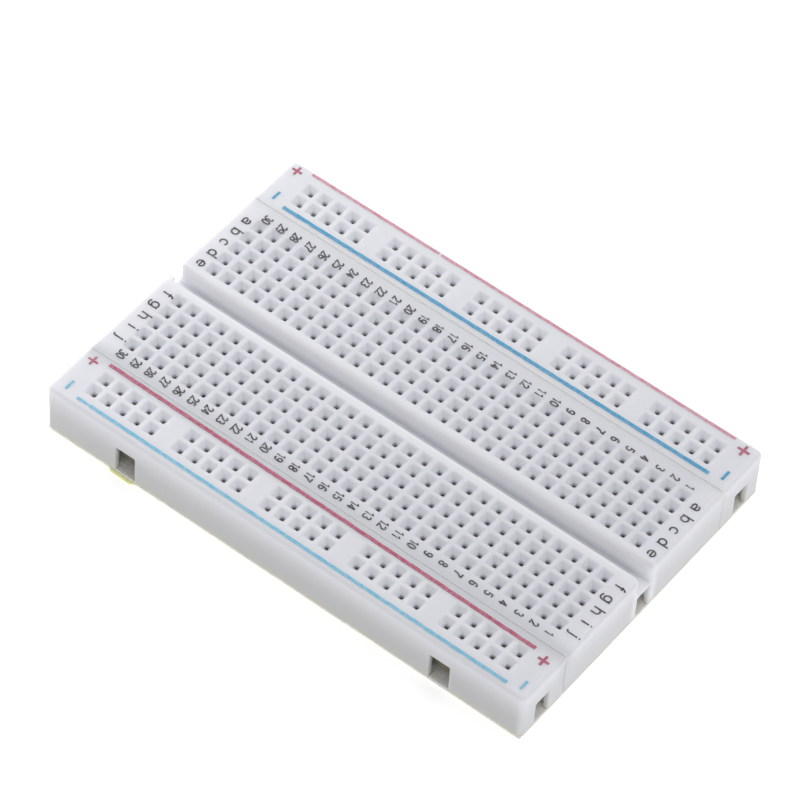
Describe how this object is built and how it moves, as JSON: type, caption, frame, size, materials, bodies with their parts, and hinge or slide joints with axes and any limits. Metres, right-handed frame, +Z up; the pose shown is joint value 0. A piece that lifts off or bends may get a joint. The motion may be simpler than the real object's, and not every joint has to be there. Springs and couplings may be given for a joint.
{
  "type": "solderless breadboard",
  "caption": "Half-size solderless breadboard: a terminal strip between two bus strips joined by dovetails, spring clips under the holes, foam adhesive base with release liner.",
  "frame": {"origin": "centre of the underside, below the middle of the hole grid, on the liner's lower face", "axes": "+Z up out of the hole face, +X along the long side towards row 1, +Y across the board towards column a"},
  "size_m": [0.084, 0.0563, 0.0092],
  "materials": {
    "block_plastic": "white moulded ABS, faintly translucent, soft satin",
    "clip_metal": "nickel-plated phosphor bronze strip",
    "foam": "closed-cell adhesive foam, off-white",
    "liner": "waxed yellow release paper",
    "ink_black": "dark grey pad-printed ink",
    "ink_red": "red pad-printed ink",
    "ink_blue": "blue pad-printed ink"
  },
  "bodies": {
    "front_bus_strip": {"front_bus_strip_block": "block_plastic", "front_negative_bus_clip": "clip_metal", "front_positive_bus_clip": "clip_metal", "front_foam_pad": "foam"},
    "terminal_strip": {"terminal_strip_block": "block_plastic", "clip_ae_row_01": "clip_metal", "clip_ae_row_02": "clip_metal", "clip_ae_row_03": "clip_metal", "clip_ae_row_04": "clip_metal", "clip_ae_row_05": "clip_metal", "clip_ae_row_06": "clip_metal", "clip_ae_row_07": "clip_metal", "clip_ae_row_08": "clip_metal", "clip_ae_row_09": "clip_metal", "clip_ae_row_10": "clip_metal", "clip_ae_row_11": "clip_metal", "clip_ae_row_12": "clip_metal", "clip_ae_row_13": "clip_metal", "clip_ae_row_14": "clip_metal", "clip_ae_row_15": "clip_metal", "clip_ae_row_16": "clip_metal", "clip_ae_row_17": "clip_metal", "clip_ae_row_18": "clip_metal", "clip_ae_row_19": "clip_metal", "clip_ae_row_20": "clip_metal", "clip_ae_row_21": "clip_metal", "clip_ae_row_22": "clip_metal", "clip_ae_row_23": "clip_metal", "clip_ae_row_24": "clip_metal", "clip_ae_row_25": "clip_metal", "clip_ae_row_26": "clip_metal", "clip_ae_row_27": "clip_metal", "clip_ae_row_28": "clip_metal", "clip_ae_row_29": "clip_metal", "clip_ae_row_30": "clip_metal", "clips_fj_rows_01_02": "clip_metal", "clips_fj_rows_03_04": "clip_metal", "clips_fj_rows_05_06": "clip_metal", "clips_fj_rows_07_08": "clip_metal", "clips_fj_rows_09_10": "clip_metal", "clips_fj_rows_11_12": "clip_metal", "clips_fj_rows_13_14": "clip_metal", "clips_fj_rows_15_16": "clip_metal", "clips_fj_rows_17_18": "clip_metal", "clips_fj_rows_19_20": "clip_metal", "clips_fj_rows_21_22": "clip_metal", "clips_fj_rows_23_24": "clip_metal", "clips_fj_rows_25_26": "clip_metal", "clips_fj_rows_27_28": "clip_metal", "clips_fj_rows_29_30": "clip_metal", "terminal_foam_pad": "foam"},
    "rear_bus_strip": {"rear_bus_strip_block": "block_plastic", "rear_negative_bus_clip": "clip_metal", "rear_positive_bus_clip": "clip_metal", "rear_foam_pad": "foam"},
    "release_liner": {"release_liner": "liner"}
  },
  "joints": [
    {"name": "terminal_lift", "type": "slide", "parent": "front_bus_strip", "child": "terminal_strip", "axis": [0, 0, 1], "range_m": [0, 0.012]},
    {"name": "rear_bus_lift", "type": "slide", "parent": "terminal_strip", "child": "rear_bus_strip", "axis": [0, 0, 1], "range_m": [0, 0.012]},
    {"name": "liner_peel", "type": "slide", "parent": "front_bus_strip", "child": "release_liner", "axis": [0, -1, 0], "range_m": [0, 0.06]}
  ]
}
